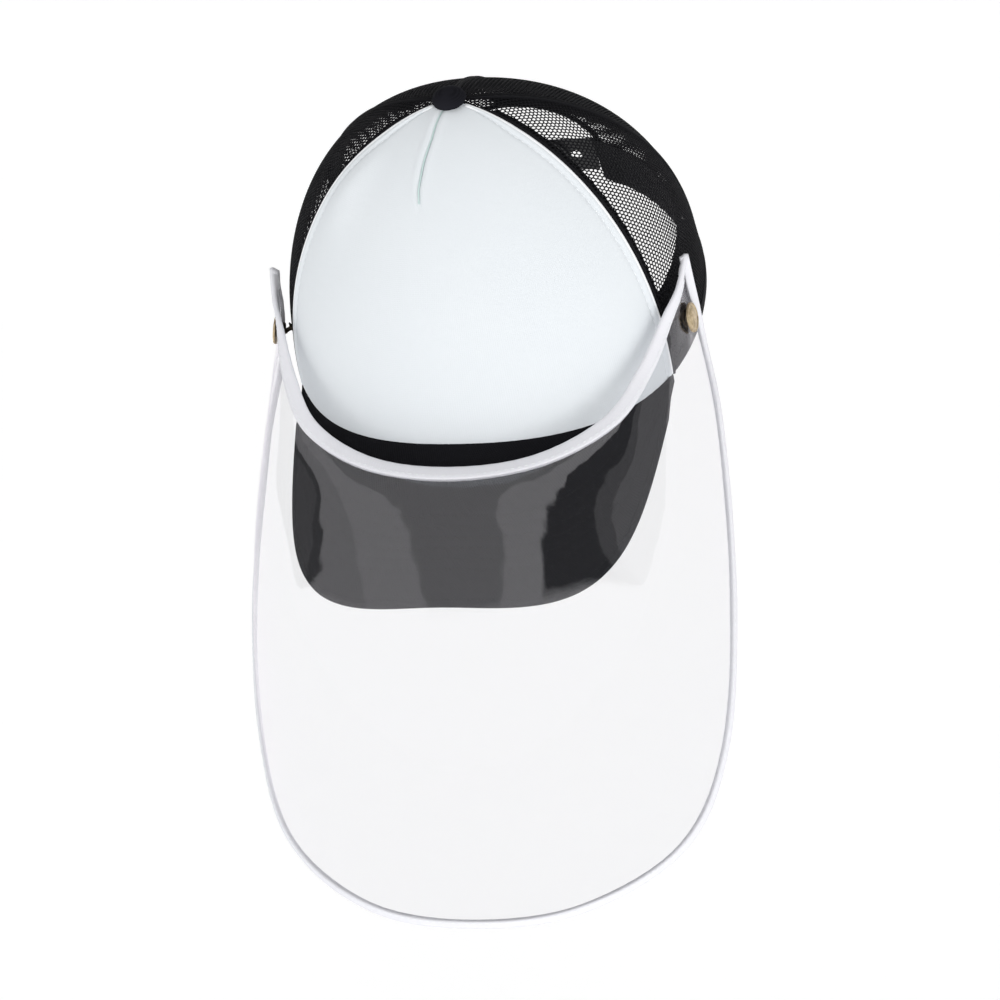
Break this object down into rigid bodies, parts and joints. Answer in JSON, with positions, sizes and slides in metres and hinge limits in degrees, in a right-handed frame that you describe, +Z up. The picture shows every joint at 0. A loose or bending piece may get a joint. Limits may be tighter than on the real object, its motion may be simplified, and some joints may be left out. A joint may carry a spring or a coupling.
{
  "type": "mesh-back cap with detachable clear face shield",
  "caption": "Foam-front mesh-back cap with a curved visor, a snap-closed rear opening and a clear bound face shield that hangs from snaps at the temples.",
  "frame": {"origin": "centre of the head opening, in the plane of the rim", "axes": "+Z up as worn, -Y towards the visor, +X on the wearer's left"},
  "size_m": [0.2076, 0.3198, 0.2531],
  "materials": {
    "face_cloth": "matt knitted polyester face, very pale blue-grey",
    "foam": "soft open-cell foam",
    "mesh": "black knitted polyester net",
    "black_cloth": "black cotton twill",
    "board": "stiff polyethylene board",
    "strap_plastic": "black soft plastic, satin",
    "brass": "antique brass",
    "film": "clear flexible film, glossy",
    "binding": "white woven bias tape"
  },
  "bodies": {
    "cap": {"arch_binding": "black_cloth", "button_washer": "black_cloth", "front_foam_lining": "foam", "front_panel": "face_cloth", "hole_strap_root": "strap_plastic", "peg_strap_root": "strap_plastic", "rear_mesh_left": "mesh", "rear_mesh_right": "mesh", "seam_tape_back": "black_cloth", "seam_tape_front_left": "black_cloth", "seam_tape_front_right": "black_cloth", "seam_tape_rear_left": "black_cloth", "seam_tape_rear_right": "black_cloth", "side_mesh_left": "mesh", "side_mesh_right": "mesh", "snap_post_left": "brass", "snap_post_right": "brass", "snap_stud_left": "brass", "snap_stud_right": "brass", "sweatband": "black_cloth", "top_button": "black_cloth", "visor_board": "board", "visor_edge_piping": "black_cloth", "visor_top_cloth": "black_cloth", "visor_under_cloth": "black_cloth"},
    "shield": {"shield_film": "film", "shield_top_binding": "binding", "shield_edge_binding": "binding", "snap_cap_left": "brass", "snap_cap_right": "brass", "snap_socket_left": "brass", "snap_socket_right": "brass"},
    "hole_strap": {"hole_strap": "strap_plastic"},
    "peg_strap": {"peg_strap": "strap_plastic"}
  },
  "joints": [
    {"name": "shield_flip", "type": "hinge", "parent": "cap", "child": "shield", "pos_m": [0, -0.03, 0.02], "axis": [-1, 0, 0], "range_deg": [0, 30]},
    {"name": "hole_strap_peel", "type": "hinge", "parent": "cap", "child": "hole_strap", "pos_m": [0.0305, 0.0911, 0.01125], "axis": [0, 0, -1], "range_deg": [0, 75]},
    {"name": "peg_strap_peel", "type": "hinge", "parent": "cap", "child": "peg_strap", "pos_m": [-0.0305, 0.0884, 0.01125], "axis": [0, 0, -1], "range_deg": [0, 45]}
  ]
}
